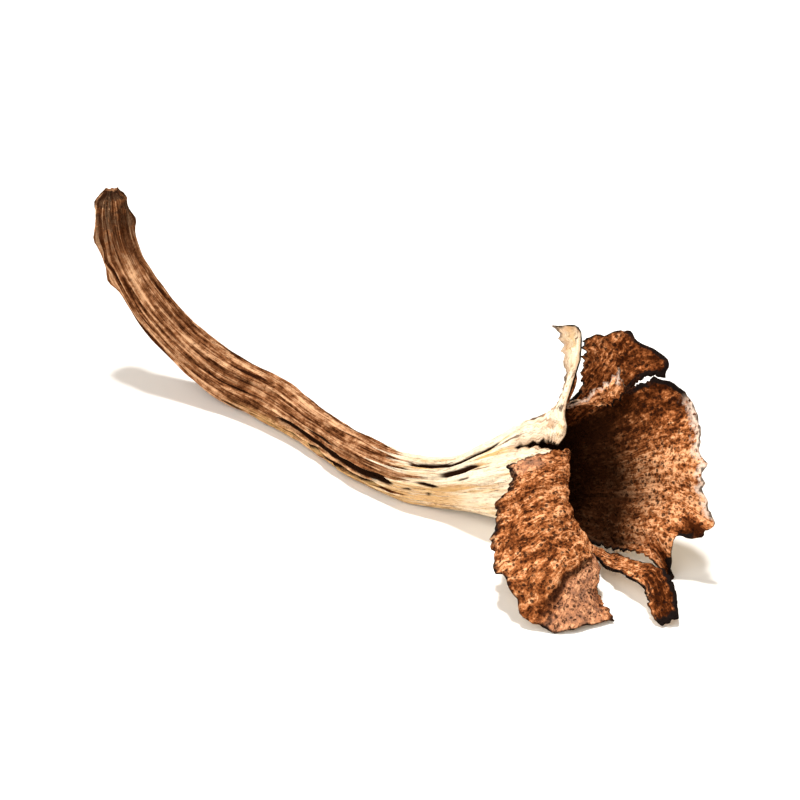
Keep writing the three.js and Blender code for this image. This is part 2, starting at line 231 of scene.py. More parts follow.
# Patches inside the mouth: from angle, to angle, softness of those ends in degrees, strength, and
# the share of the mouth's length where the patch begins and over which it grows to full strength.
WHOLE = (-1.0, 1.0)
# Painted light and shade inside the mouth, with some darker tips that the flesh has: a positive
# strength darkens the brown and widens the black margin, a negative one lightens them. Painted shade
# lies at the back, painted light on the far wall, the outer back lobe and the flap, and the darker
# tips at the margin of the far wall and of the strip.
LIGHT_SHADE_AND_TIPS = [
    (266, 344, 24, 0.5, *WHOLE),
    (266, 344, 24, 0.5, 0.0, 0.4),
    (176, 268, 14, -0.55, 0.45, 0.3),
    (296, 338, 8, -0.5, 0.62, 0.2),
    (339, 357, 1, -0.15, *WHOLE),
    (205, 224, 5, 2.0, 0.85, 0.1),
    (184, 200, 4, 2.0, 0.85, 0.1),
    (156.5, 177, 1.5, 1.2, 0.70, 0.14),
]
FLUSHED = [
    (132, 157, 8, 1.0, 0.45, 0.1),
    (30, 52, 6, 1.0, 0.72, 0.12),
]
# Painted shade deep in the mouth, over flesh that is darker there too, and the crest's painted shadow
# on the far wall: how far out it reaches, how much farther on the far wall, the share over which it
# fades, and how much weaker it is behind the flap.
THROAT_SHADE_REACH, THROAT_SHADE_FAR_WALL, THROAT_SHADE_FADE, THROAT_SHADE_FLAP = 0.37, 0.49, 0.32, 0.7
FAR_WALL, BEHIND_FLAP = (165, 306, 14), (318, 352, 16)  # from angle, to angle, softness
# Painted light bounced from the floor onto the underside of the stem and neck: from angle, to angle,
# softness, how far below the neck it begins and over which length it grows.
BOUNCE_LIGHT = [
    (92, 165, 16, 50, 12),
    (60, 150, 22, 19, 6),
]
# The cream skin: how far below the neck it gives way to bark, over which length, and how far the
# cords shift that for each millimetre of their height.
CREAM_BELOW, CREAM_FADE, CREAM_SHIFT = 22, 14, 18
# Stretches of the margin where the brown skin has peeled and pale flesh shows: from, to, softness.
PEELED = [(226, 283, 4), (345, 358, 4)]
SKIN_SHIFT = 40  # moves the inner skin's grain, so that it isn't the outer skin's

# ---------------------------------------- finish and stage, in metres
PIT_WARP = 4e-4  # how far the pits are pushed about, so that they lose their round shape
GRAIN_HEIGHT = 0.00035  # height of the fine grain
FOOT, FOOT_END = (68, 80), (80.5, 82.0)  # millimetres below the neck over which they darken
FLOOR_SIZE, FLOOR_ROUGHNESS = 4.0, 0.9
CAMERA_LENS, CAMERA_SENSOR = 400, 36  # millimetres
FILL_COLOUR = (1.0, 0.91, 0.79)
# Lights: the direction they come from, how wide they look in degrees, and their colour.
KEY_LIGHT = {"from": (-0.0875, 0.3069, 1.0), "width": 7, "colour": (1.0, 0.98, 0.96)}
FRONT_LIGHT = {"from": (-0.75, -0.9, 0.8), "width": 70, "colour": (1.0, 0.97, 0.93)}


def ease(x):
    """0 below 0, 1 above 1, smooth in between."""
    x = np.clip(x, 0.0, 1.0)
    return x * x * (3 - 2 * x)


def within(angles, start, end, soft):
    """1 between two angles, 0 outside them, smooth at both ends."""
    return ease((angles - start) / soft) * ease((end - angles) / soft)


def curve(knots, points, x):
    """Smooth curve through points (first axis) at the knots, at x, which has the other axes."""
    knots = np.asarray(knots, float)
    points = np.asarray(points, float)
    gap = np.diff(knots).reshape(-1, *[1] * (points.ndim - 1))
    rise = np.diff(points, axis=0) / gap
    slope = np.empty_like(points)
    slope[0], slope[-1] = rise[0], rise[-1]
    slope[1:-1] = (rise[:-1] * gap[1:] + rise[1:] * gap[:-1]) / (gap[:-1] + gap[1:])
    x = np.asarray(x, float)
    i = np.clip(np.searchsorted(knots, x, side="right") - 1, 0, len(knots) - 2)
    h = (knots[i + 1] - knots[i])[..., None]
    t = ((x - knots[i]) / h[..., 0])[..., None]
    here, following = (i,), (i + 1,)
    if points.ndim == 3:
        columns = np.broadcast_to(np.arange(points.shape[1]), i.shape)
        here, following = (i, columns), (i + 1, columns)
    return (
        points[here] * (2 * t**3 - 3 * t**2 + 1)
        + slope[here] * (t**3 - 2 * t**2 + t) * h
        + points[following] * (3 * t**2 - 2 * t**3)
        + slope[following] * (t**3 - t**2) * h
    )


def stem_lines(angles):
    """Points in the middle of the stem's wall: one row per ring, one column per angle."""
    middle = np.array([at for at, _ in STEM])
    along = np.empty_like(middle)
    along[1:-1] = middle[2:] - middle[:-2]
    along[0], along[-1] = middle[1] - middle[0], NECK_AXIS
    along /= np.linalg.norm(along, axis=1)[:, None]
    side = SIDE - along * (along @ SIDE)[:, None]
    side /= np.linalg.norm(side, axis=1)[:, None]
    up = np.cross(side, along)
    reach = np.array([radius for _, radius in STEM]) - WALL / 2
    turn = np.radians(angles)[None, :, None]
    ring = np.cos(turn) * up[:, None] + np.sin(turn) * side[:, None]
    return middle[:, None] + reach[:, None, None] * ring


class Ribs:
    """Ribs of the mouth, each at its angle round the neck and with its four points in a row."""

    def at(self, angles):
        """The four points of the rib at each angle."""
        return curve(self.knots, self.points, angles).reshape(len(angles), 4, 3)


class Lobe(Ribs):
    """One lobe of the mouth: its ribs between the middles of the tears beside it."""

    def __init__(self, index):
        ribs = LOBES[index]["ribs"]
        last = LOBES[index - 1]["ribs"][-1][0] - (360 if index == 0 else 0)
        following = LOBES[(index + 1) % len(LOBES)]["ribs"][0][0]
        following += 360 if index == len(LOBES) - 1 else 0
        self.start, self.end = (ribs[0][0] + last) / 2, (ribs[-1][0] + following) / 2
        self.knots = [self.start, *(rib[0] for rib in ribs[1:-1]), self.end]
        self.points = np.array([rib[1:] for rib in ribs], float).reshape(len(ribs), 12)
        self.tears = LOBES[index - 1]["tear"], LOBES[index]["tear"]


class WholeMouth(Ribs):
    """The same ribs as if no tear had opened."""

    def __init__(self, lobes):
        self.knots, self.points = [], []
        for turn in (-360, 0, 360):
            for index, lobe in enumerate(lobes):
                before = lobes[index - 1]
                shared = (before.at([before.end]) + lobe.at([lobe.start]))[0] / 2
                self.knots.append(lobe.start + turn)
                self.points.append(shared.reshape(12))
                for angle in lobe.knots[1:-1]:
                    self.knots.append(angle + turn)
                    self.points.append(lobe.at([angle])[0].reshape(12))


def lump(points, size, seed=0.0):
    """Smooth noise at each point, between about -1 and 1."""
    flat = (np.asarray(points).reshape(-1, 3) / size + seed).tolist()
    return np.array([noise.noise(point) for point in flat]).reshape(np.shape(points)[:-1])


def grain(angles, along, stretch=GRAIN_STRETCH, radius=GRAIN_RADIUS):
    """Places for a noise that is drawn out along the growth and closes round the mushroom."""
    turn, along = np.broadcast_arrays(np.radians(angles), along)
    return np.stack([radius * np.cos(turn), radius * np.sin(turn), along / stretch], axis=-1)


class Flesh:
    """The mushroom's wall as sheets of points, with what the finish needs to know about them."""

    def __init__(self, sizes):
        self.sizes = sizes
        self.lobes = [Lobe(index) for index in range(len(LOBES))]
        self.whole = WholeMouth(self.lobes)
        around = np.arange(0, 360, 10.0)
        mean = np.concatenate([stem_lines(around), self.whole.at(around).transpose(1, 0, 2)])
        steps = np.linalg.norm(np.diff(mean, axis=0), axis=2).mean(axis=1)
        self.knots = np.concatenate([[0], np.cumsum(steps)])
        self.neck, self.margin = self.knots[len(STEM) - 1], self.knots[-1]
        mouth = np.linspace(0, 1, MOUTH_ROWS + 1)
        self.share = np.concatenate([np.full(STEM_ROWS, -1.0), mouth])
        self.stem_along = np.linspace(0, self.neck, STEM_ROWS + 1)[:-1]

    def cut(self, angles):
        """How much of the margin is missing at each angle, as a share of the mouth's length."""
        place = grain(angles, 0.0)
        ragged = sum(lump(place, size, seed) * share for size, seed, share in RAGS)
        eaten = np.clip(EATEN_MEAN + EATEN_SWING * ragged, EATEN_LEAST, 1.0)
        return self.sizes.ragged / (self.margin - self.neck) / MM * eaten

    def along(self, angles):
        """Distances along the wall of every row (first axis) at each angle."""
        mouth = self.share[STEM_ROWS:, None] * (1 - self.cut(angles))[None]
        mouth = self.neck + mouth * (self.margin - self.neck)
        return np.concatenate([np.repeat(self.stem_along[:, None], len(angles), 1), mouth])

    def sheet(self, lobe):
        """A lobe and the stem below it: middle points, angles, distances and tear distance."""
        count = int(math.ceil((lobe.end - lobe.start) / COLUMN_ANGLE))
        angles = np.linspace(lobe.start, lobe.end, count + 1)
        along = self.along(angles)
        stem = stem_lines(angles)
        whole = np.concatenate([stem, self.whole.at(angles).transpose(1, 0, 2)])
        torn = np.concatenate([stem, lobe.at(angles).transpose(1, 0, 2)])
        shut, opened = curve(self.knots, whole, along), curve(self.knots, torn, along)
        place = (angles - lobe.start) / (lobe.end - lobe.start)
        tear = lobe.tears[0] + (lobe.tears[1] - lobe.tears[0]) * ease(place)
        parting = ease((self.share[:, None] - tear[None]) / TEAR_EASE)[..., None]
        middle = shut + parting * (opened - shut)
        edge = np.full(along.shape, FAR)
        for row in range(STEM_ROWS, len(self.share)):
            middle[row], edge[row] = self.drawn_in(middle[row], row, lobe, angles, along[row])
        reach = np.linalg.norm(middle[-1] - middle[STEM_ROWS], axis=1)
        to_margin = (1 - self.share)[:, None] * reach
        return middle, angles, self.walked(middle, along), np.minimum(edge, to_margin)

    def walked(self, middle, along):
        """Distances along the wall, measured on each column itself from the neck on."""
        steps = np.linalg.norm(np.diff(middle, axis=0), axis=2)
        walked = np.concatenate([np.zeros((1, middle.shape[1])), np.cumsum(steps, axis=0)])
        on_stem = np.arange(len(along))[:, None] < STEM_ROWS
        return np.where(on_stem, along, self.neck + walked - walked[STEM_ROWS])

    def tear_gap(self, row, tear, angle, along):
        """How far a row draws back from the tear at an angle."""
        turn = angle % 360
        jag = 1.0
        for count, seed, depth in JAGS:
            jag += depth * noise.noise(Vector((turn, along * count, seed)))
        for place, out, half, depth in BITES:
            if abs(turn - place) < 1:
                jag += depth * math.exp(-(((self.share[row] - out) / half) ** 2))
        opened = ease((self.share[row] - tear) / TEAR_TIP)
        return self.sizes.tear_gap / MM * max(jag, LEAST_GAP) * opened

    def drawn_in(self, points, row, lobe, angles, along):
        """A row across a lobe, drawn back from its tears, and the distance to the nearer tear."""
        steps = np.linalg.norm(np.diff(points, axis=0), axis=1)
        lengths = np.concatenate([[0], np.cumsum(steps)])
        most = DRAWN_IN_MOST * lengths[-1]
        gaps = [
            min(self.tear_gap(row, tear, angles[end], along[end]), most)
            for tear, end in zip(lobe.tears, (0, -1))
        ]
        new = gaps[0] + lengths * (1 - sum(gaps) / lengths[-1])
        moved = np.stack([np.interp(new, lengths, points[:, k]) for k in range(3)], axis=1)
        far = np.full(len(lengths), FAR)
        for tear, across in zip(lobe.tears, (lengths, lengths[-1] - lengths)):
            before = max(0.0, tear - self.share[row]) * (self.margin - self.neck)
            far = np.minimum(far, np.hypot(across, before))
        return moved, far

    def build(self):
        """Points, faces and per-point facts of the wall's middle, all lobes joined at the tears."""
        middle, facts, grid = [], [], []
        for lobe in self.lobes:
            points, angles, along, edge = self.sheet(lobe)
            for column in range(len(angles)):
                first, last = column == 0 and grid, column == len(angles) - 1
                closing = last and lobe is self.lobes[-1]
                shared = grid[-1][0] if first else grid[0][0] if closing else None
                held = np.zeros(len(self.share), bool)
                if shared is not None:
                    held = self.share <= (lobe.tears[0] if first else lobe.tears[1])
                rows = len(middle) + np.cumsum(~held) - 1
                if shared is not None:
                    rows = np.where(held, shared, rows)
                middle.extend(points[~held, column])
                facts.extend(
                    (angles[column] % 360, along[row, column], edge[row, column], row)
                    for row in np.flatnonzero(~held)
                )
                grid.append((rows, bool(first)))
        quads = []
        for (before, _), (after, border) in zip(grid, grid[1:]):
            if not border:
                quads.append(np.stack([before[:-1], after[:-1], after[1:], before[1:]], axis=1))
        return np.array(middle), np.array(facts), np.concatenate(quads)


def normals_of(points, quads):
    """Unit normals at the points of a sheet of quads."""
    a, b, c, d = (points[quads[:, k]] for k in range(4))
    facing = np.cross(c - a, d - b)
    total = np.zeros_like(points)
    for k in range(4):
        np.add.at(total, quads[:, k], facing)
    return total / np.maximum(np.linalg.norm(total, axis=1), 1e-12)[:, None]


class Skins:
    """Both skins of the wall, joined at the torn margin, with the flesh's fine relief."""

    def __init__(self, flesh):
        self.flesh, self.relief = flesh, flesh.sizes.relief
        points, facts, self.quads = flesh.build()
        self.angle, self.along, self.edge = facts[:, 0], facts[:, 1], facts[:, 2]
        self.row = facts[:, 3].astype(int)
        self.out = np.clip(flesh.share[self.row], 0, 1)
        self.from_neck = self.along - flesh.neck
        self.normal = normals_of(points, self.quads)
        self.middle = points + self.normal * self.sway(points)[:, None]
        self.slit = self.slits()

    def layer(self, name):
        """One of the reliefs that are drawn out along the growth."""
        stretch, radius, size, seed, height = LAYERS[name]
        return height * lump(grain(self.angle, self.along, stretch, radius), size, seed)

    def sway(self, points):
        """How far the whole wall bends off its smooth form: dents, and a ruffled margin."""
        on_mouth, level = ease(self.out / 0.3), np.zeros_like(self.along)
        dents = sum(lump(points, size, seed) * height for size, seed, height in DENTS)
        bend = dents * (0.25 + 0.75 * on_mouth)
        near_edge = ease(1 - self.edge / RUFFLE_REACH)
        bend += near_edge * on_mouth * (self.layer("ruffle") + self.layer("fine ruffle"))
        size, seed, height = STEM_BEND
        stem_bend = height * lump(np.stack([level, level, self.along], -1), size, seed)
        bend += stem_bend * (1 - on_mouth)
        beside_fold = np.exp(-(((self.angle - FOLD_ANGLE) / FOLD_REACH) ** 2))
        beside_fold *= ease((STRIP_END - self.angle) / STRIP_SOFT)
        return self.relief * (bend + FOLD_STEP * self.fold()[1] * beside_fold)

    def fold(self):
        """The line along the fold across the front lobe, where its shade is painted, and the step in
        the wall that it makes.
        """
        across = (self.angle - FOLD_ANGLE) / FOLD_WIDTH + (self.out - FOLD_OUT) * FOLD_LEAN
        (start, start_soft), (end, end_soft) = FOLD_START, FOLD_END
        length = ease((self.out - start) / start_soft) * ease((end - self.out) / end_soft)
        return np.exp(-((across / 0.42) ** 2)) * length, np.tanh(across * 2.2) * length

    def outer_relief(self):
        """Height of the outer skin: cords and knobs on the stem, veins on the mouth, slits."""
        on_stem = 1 - ease(self.out / 0.25)
        relief = on_stem * (self.layer("cords") + self.layer("stem fibres"))
        veins = VEIN_TOP - np.abs(self.layer("veins")) + self.layer("fine veins")
        relief += (1 - on_stem) * veins
        for place, foot, height, size in KNOBS:
            away = self.arc(self.angle - place) ** 2 + (self.along - foot) ** 2
            relief += height * np.exp(-away / size**2)
        relief += ease(1 - self.along / CRUMBLED) * self.layer("crumbs")
        relief -= ROUNDED_DEPTH * ease(1 - self.along / ROUNDED)
        return self.relief * (relief - self.slit)

    def arc(self, turn):
        """Degrees round the stem, as a length on its skin."""
        radius = STEM_SKIN + (NECK_SKIN - STEM_SKIN) * ease((self.from_neck + 8) / 8)
        return np.radians((turn + 180) % 360 - 180) * radius

    def slits(self):
        """Depth of the slits in the skin of the stem."""
        deep, level = np.zeros_like(self.from_neck), np.zeros_like(self.from_neck)
        for place, start, end, half, depth in SLITS:
            taper = min(SLIT_TAPER, TAPER_SHARE * (end - start))
            length = ease((self.from_neck - start) / taper) * ease((end - self.from_neck) / taper)
            wander = lump(np.stack([self.from_neck, level, level + place], -1), 3.0)
            wide = np.maximum(half * (0.35 + 0.65 * length), SLIT_LEAST)
            across = (self.arc(self.angle - place) + SLIT_WANDER * wander) / wide
            deep = np.maximum(deep, depth * length * np.exp(-(across**4)))
        return deep * (self.from_neck < 4)

    def inner_relief(self):
        """Height of the inner skin: fibres, ribs and grit."""
        size, seed, height = GRIT
        relief = self.layer("inner fibres") + self.layer("inner ribs")
        return self.relief * (relief + height * lump(self.middle, size, seed))

    def wall(self):
        """Thickness of the flesh."""
        thinned = ease((self.out - THINS_FROM) / (1 - THINS_FROM))
        wall = WALL + (MARGIN_WALL - WALL) * thinned
        return wall * (TORN_WALL + (1 - TORN_WALL) * ease(self.edge))

    def body(self):
        """Points and faces of the closed body, and the facts its finish needs at each point."""
        half = self.wall() / 2
        soften = EDGE_RELIEF + (1 - EDGE_RELIEF) * ease(self.edge / EDGE_SOFT)
        outer = self.middle + self.normal * (half + self.outer_relief() * soften)[:, None]
        inner = self.middle - self.normal * (half + self.inner_relief() * soften)[:, None]
        hollow_row = int(np.searchsorted(self.flesh.stem_along, self.flesh.neck - HOLLOW_DEPTH))
        hollow = self.row >= hollow_row
        skins = np.concatenate([outer, inner[hollow]])
        under = len(outer) + np.cumsum(hollow) - 1  # each point's partner on the inner skin
        row = self.row[self.quads[:, 0]]
        inward = under[self.quads[row >= hollow_row][:, ::-1]]
        faces = [tuple(face) for face in np.concatenate([self.quads, inward]).tolist()]
        faces += self.rim(under.tolist())
        hubs = []
        for ring in (self.quads[row == 0][:, 1::-1], under[self.quads[row == hollow_row][:, :2]]):
            hub = len(skins) + len(hubs)
            hubs.append(skins[ring[:, 0]].mean(axis=0))
            faces += [(a, b, hub) for a, b in ring.tolist()]
        points = np.concatenate([skins, hubs])
        points[:, 2] = np.maximum(points[:, 2], 0.0)
        return (points - CENTRE) * MM, faces, self.facts(hollow)

    def rim(self, under):
        """Faces across the torn edge, from the outer skin to the inner one."""
        sides = np.concatenate([self.quads[:, [k, (k + 1) % 4]] for k in range(4)]).tolist()
        known = {tuple(side) for side in sides}
        return [
            (b, a, under[a], under[b])
            for a, b in sides
            if (b, a) not in known and not (self.row[a] == 0 and self.row[b] == 0)
        ]

    def patches(self, table):
        """How strongly each point belongs to a table's patches."""
        strength = np.zeros_like(self.out)
        for start, end, soft, most, begins, grows in table:
            strength += most * within(self.angle, start, end, soft) * ease((self.out - begins) / grows)
        return strength

    def facts(self, hollow):
        """What the finish reads: which skin, distances, and places for noise along the growth."""
        zeros, ones = np.zeros_like(self.out), np.ones_like(self.out)
        peeled, ochre = zeros, zeros
        for stretch in PEELED:
            peeled = np.maximum(peeled, within(self.angle, *stretch))
        # painted light bounced from the floor onto the underside of the stem and neck
        for start, end, soft, below, grows in BOUNCE_LIGHT:
            stain = within(self.angle, start, end, soft) * ease((self.from_neck + below) / grows)
            ochre = np.maximum(ochre, stain)
        # painted shade deep in the mouth, reaching farther out on the far wall as the crest's painted
        # shadow
        reach = THROAT_SHADE_REACH + THROAT_SHADE_FAR_WALL * within(self.angle, *FAR_WALL)
        throat = ease((reach - self.out) / THROAT_SHADE_FADE)
        throat *= 1 - THROAT_SHADE_FLAP * within(self.angle, *BEHIND_FLAP)
        shift = CREAM_SHIFT * self.layer("cords")
        cream = ease((self.from_neck + CREAM_BELOW + shift) / CREAM_FADE)
        skins = {
            "inside": (zeros, ones),
            "edge": (self.edge, self.edge),
            "out": (self.out, self.out),
            "from_neck": (self.from_neck, self.from_neck),
            # depth of the slits; the finish paints their shade from it
            "slit": (self.slit, zeros),
            # painted shade along the crease of the front lobe
            "crease": (zeros, self.fold()[0]),
            # painted light and shade inside the mouth, and darker tips
            "dusk": (zeros, self.patches(LIGHT_SHADE_AND_TIPS)),
            # painted shade deep in the mouth
            "throat": (zeros, throat),
            "flushed": (zeros, self.patches(FLUSHED)),
            # painted bounce light on the underside
            "ochre": (ochre, zeros),
            "cream": (cream, cream),
            "peeled": (peeled, peeled),
        }
        own = {
            name: np.concatenate([outer, inner[hollow], [0, 0]])
            for name, (outer, inner) in skins.items()
        }
        places = grain(self.angle, self.along)
        own["grain"] = np.concatenate([places, places[hollow] + SKIN_SHIFT, np.zeros((2, 3))])
        return own


# ---------------------------------------- shader helpers
class Socket:
    """An output socket whose arithmetic adds Math nodes to its graph."""

    def __init__(self, graph, output):
        self.graph, self.output = graph, output

    def math(self, operation, *values):
        """A Math node on values, each a socket or a number."""
        return self.graph.node("ShaderNodeMath", {"operation": operation}, dict(enumerate(values)))

    def __add__(self, other):
        return self.math("ADD", self, other)

    def __sub__(self, other):
        return self.math("SUBTRACT", self, other)

    def __rsub__(self, other):
        return self.math("SUBTRACT", other, self)

    def __mul__(self, other):
        return self.math("MULTIPLY", self, other)

    __radd__, __rmul__ = __add__, __mul__

    def between(self, low, high):
        """0 below low, 1 above high, smooth in between; low may be above high."""
        if low > high:
            return 1 - self.between(high, low)
        settings = {"interpolation_type": "SMOOTHSTEP"}
        inputs = {"Value": self, "From Min": low, "From Max": high}
        return self.graph.node("ShaderNodeMapRange", settings, inputs)


class Graph:
    """The node tree of one material."""

    def __init__(self, name):
        self.material = bpy.data.materials.new(name)
        self.material.use_nodes = True
        self.tree = self.material.node_tree
        self.tree.nodes.clear()

    def node(self, kind, settings=None, inputs=None, output=0):
        """Any node: its settings first, then its inputs as sockets or values; one output."""
        made = self.tree.nodes.new(kind)
        for key, value in (settings or {}).items():
            if key == "stops":
                self.stops(made.color_ramp, value)
            else:
                setattr(made, key, value)
        for key, value in (inputs or {}).items():
            if isinstance(value, Socket):
                self.tree.links.new(value.output, made.inputs[key])
            else:
                made.inputs[key].default_value = value
        return Socket(self, made.outputs[output]) if made.outputs else None

    @staticmethod
    def stops(ramp, stops):
        """Places and colours of a colour ramp."""
        while len(ramp.elements) < len(stops):
            ramp.elements.new(0.5)
        for element, (place, colour) in zip(ramp.elements, stops):
            element.position, element.color = place, (*colour, 1)

    def fact(self, name, vector=False):
        """A fact stored at the mesh's points."""
        output = "Vector" if vector else "Fac"
        return self.node("ShaderNodeAttribute", {"attribute_name": name}, output=output)

    def ramp(self, place, *stops):
        """The colour at a place between stops."""
        return self.node("ShaderNodeValToRGB", {"stops": stops}, {"Fac": place})

    def mix(self, share, first, second):
        """Two colours mixed on the Mix node's colour sockets; a plain colour is three numbers."""
        colours = [c if isinstance(c, Socket) else (*c, 1) for c in (first, second)]
        inputs = {0: share, 6: colours[0], 7: colours[1]}
        return self.node("ShaderNodeMix", {"data_type": "RGBA"}, inputs, output=2)

    def layered(self, colour, *layers):
        """A colour with others over it: each has a mask, how much of it shows, and its colour."""
        for mask, share, over in layers:
            colour = self.mix(mask * share, colour, over)
        return colour

    def vector(self, operation, first, second):
        """A Vector Math node on two vectors."""
        return self.node("ShaderNodeVectorMath", {"operation": operation}, {0: first, 1: second})

    def noise(self, place, scale, detail, rough=0.55):
        """Cloudy noise, about 0.5 in the mean."""
        inputs = {"Vector": place, "Scale": scale, "Detail": detail, "Roughness": rough}
        return self.node("ShaderNodeTexNoise", None, inputs)

    def dots(self, place, scale):
        """Distance to the nearest of scattered points."""
        return self.node("ShaderNodeTexVoronoi", None, {"Vector": place, "Scale": scale})

    def finished(self, inputs):
        """The material, with these inputs on its shader."""
        shader = self.node("ShaderNodeBsdfPrincipled", None, inputs)
        self.node("ShaderNodeOutputMaterial", None, {"Surface": shader})
        return self.material


# ---------------------------------------- finish
class FleshFinish:
    """Dry flesh: speckled brown inside, black margins, cream outside, brown fibrous stem."""

    def __init__(self, look):
        self.look = look
        self.g = g = Graph("flesh")
        self.place = g.node("ShaderNodeTexCoord", output="Object")
        self.along = g.fact("grain", vector=True)
        self.edge, self.out, self.below = g.fact("edge"), g.fact("out"), 0 - g.fact("from_neck")
        # the first holds painted light and shade with some darker tips; the last holds painted light
        # bounced from the floor
        self.dusk, self.peeled, self.ochre = g.fact("dusk"), g.fact("peeled"), g.fact("ochre")
        self.patches = g.noise(self.place, 210, 2)
        self.mottle = g.noise(self.place, 760, 4, 0.7)
        self.grit = g.noise(self.place, 1900, 2, 0.6)
        self.fibres = g.noise(self.along, 1.5, 4, 0.65)
        self.fine_fibres = g.noise(self.drawn_out(1.6), 3.6, 4, 0.65)
        self.strands = g.noise(self.drawn_out(2.0), 0.40, 5, 0.62)
        self.big_speck, self.small_speck = self.specks()

    def drawn_out(self, along):
        """Places for noise along the growth, closer together in that direction."""
        return self.g.vector("MULTIPLY", self.along, (1, 1, along))

    def specks(self):
        """Big and small pits, scattered unevenly."""
        g = self.g
        inputs = {"Vector": self.place, "Scale": 1500.0}
        warp = g.node("ShaderNodeTexNoise", None, inputs, output="Color")
        place = g.vector("ADD", self.place, g.vector("MULTIPLY", warp, (PIT_WARP,) * 3))
        big = g.dots(place, 1150).between(0.36, 0.22) * self.grit.between(0.38, 0.5)
        small = g.dots(place, 2300).between(0.42, 0.26) * self.mottle.between(0.62, 0.5)
        return big, small

    def inside(self):
        """Speckled brown inside the mouth, with painted shade deep inside it and along the fold."""
        g, look = self.g, self.look
        tone = (self.fine_fibres - 0.5) * 1.2 + (self.fibres - 0.5) * 1.3 + (self.mottle - 0.5) * 1.35
        tone = tone + (self.patches - 0.5) * 0.6 + (self.grit - 0.5) * 0.8
        # painted shade and the darker tips darken the brown, painted light lightens it
        tone = tone + 0.52 - self.dusk * 0.32
        dark, mid = (0.1, look.inner_dark), (0.4, look.inner_mid)
        brown = g.ramp(tone, dark, mid, (0.62, look.inner_warm), (0.92, look.inner_light))
        return g.layered(
            brown,
            (g.fact("flushed"), 0.3, look.flush),
            (self.big_speck, 0.85, look.speck),
            (self.small_speck, 0.6, look.speck),
            (self.fine_fibres.between(0.42, 0.33), 0.55, look.speck),
            # painted shade deep in the mouth
            (g.fact("throat"), 0.96, look.throat),
            # painted shade along the crease
            (g.fact("crease").between(0.35, 0.95), 0.85, look.speck),
        )

    def pale(self):
        """Cream skin of the neck and of the mouth's outside, veined, with stains and with painted
        bounce light on the underside.
        """
        g, look, fibres, fine = self.g, self.look, self.fibres, self.fine_fibres
        stain = g.noise(self.drawn_out(2.0), 0.55, 3)
        # painted light bounced from the floor onto the neck's underside
        bounce_lit = self.ochre * self.below.between(0.5, 8)
        return g.layered(
            g.mix(stain.between(0.5, 0.72), look.cream, look.ochre),
            (fine.between(0.46, 0.34), 0.75, look.vein),
            (fibres.between(0.42, 0.34), 0.85, look.stem_dark),
            (self.strands.between(0.42, 0.36), 0.6, look.vein),
            (self.mottle.between(0.52, 0.7), 0.3, look.blush),
            (bounce_lit * fibres.between(0.36, 0.52), 0.9, look.ochre),
            (bounce_lit * fine.between(0.50, 0.38), 0.6, look.vein),
            (self.edge.between(1.6, 0.3), 0.5, look.vein),
        )

    def bark(self):
        """Brown fibrous skin of the stem, nearly black at its foot, with painted bounce light on its
        underside.
        """
        g, look, fibres, strands = self.g, self.look, self.fibres, self.strands
        tone = (strands - 0.5) * 2.6 + (fibres - 0.5) * 1.2 + (self.mottle - 0.5) * 1.4 + 0.47
        return g.layered(
            g.ramp(tone, (0.12, look.stem_dark), (0.46, look.stem_mid), (0.9, look.stem_light)),
            (strands.between(0.40, 0.34), 0.7, look.speck),
            (self.below.between(*FOOT) * self.mottle.between(0.42, 0.52), 0.8, look.speck),
            (self.below.between(*FOOT_END), 0.7, look.speck),
            # painted light bounced from the floor onto the stem's underside
            (self.ochre * fibres.between(0.36, 0.56), 0.75, look.ochre),
        )

    def outside(self):
        """The whole outer skin: bark that gives way to cream at the neck, and painted shade in the
        slits.
        """
        g = self.g
        cream = g.fact("cream") + (self.fibres - 0.5) * 1.3 + (self.patches - 0.5) * 0.5
        outside = g.mix(cream.between(0.35, 0.62), self.bark(), self.pale())
        # painted shade inside the slits, darker where they are deeper
        slit = (g.fact("slit") * (0.45 + self.fine_fibres)).between(0.04, 0.34)
        return g.mix(slit, outside, self.look.slit)

    def margins(self, colour):
        """A skin's colour with its black margin, and the pale flesh where that has peeled."""
        g, look, edge, peeled = self.g, self.look, self.edge, self.peeled
        torn, on_mouth = g.noise(self.place, 900, 2), self.out.between(0.05, 0.2)
        # painted shade and the darker tips widen the black margin, painted light narrows it
        rim = (edge + torn * 0.9 - self.dusk * 0.7).between(0.85, 0.45) * on_mouth
        colour = g.mix(rim * (1 - peeled) * self.patches.between(0.3, 0.5), colour, look.margin)
        wide_rim = (edge + torn * 3.0).between(2.9, 1.8) * on_mouth * self.grit.between(0.34, 0.46)
        colour = g.mix(wide_rim * peeled * 0.9, colour, look.peeled)
        tips = (edge + torn * 2.0).between(1.25, 0.9) * peeled
        return g.mix(tips * 0.8, colour, look.margin)

    def material(self):
        """The finished material: colour, roughness and fine grain."""
        g = self.g
        colour = g.mix(g.fact("inside").between(0.45, 0.55), self.outside(), self.inside())
        height = self.mottle * 0.8 + self.fine_fibres * 0.8 + self.grit * 0.3
        height = height - self.big_speck * 0.9 - self.small_speck * 0.5
        inputs = {"Strength": self.look.bump, "Distance": GRAIN_HEIGHT, "Height": height}
        finish = {
            "Base Color": self.margins(colour),
            "Roughness": 0.62 + self.mottle * 0.3,
            "Specular IOR Level": 0.0,
            "Normal": g.node("ShaderNodeBump", None, inputs),
        }
        return g.finished(finish)


def floor_finish(colour):
    """The plain matt finish of the floor."""
    return Graph("floor").finished({"Base Color": (*colour, 1), "Roughness": FLOOR_ROUGHNESS})


# ---------------------------------------- what a user may change
def length(name, description, default):
    """A length in metres."""
    return bpy.props.FloatProperty(
        name=name, description=description, default=default, min=0, unit="LENGTH", precision=5
    )


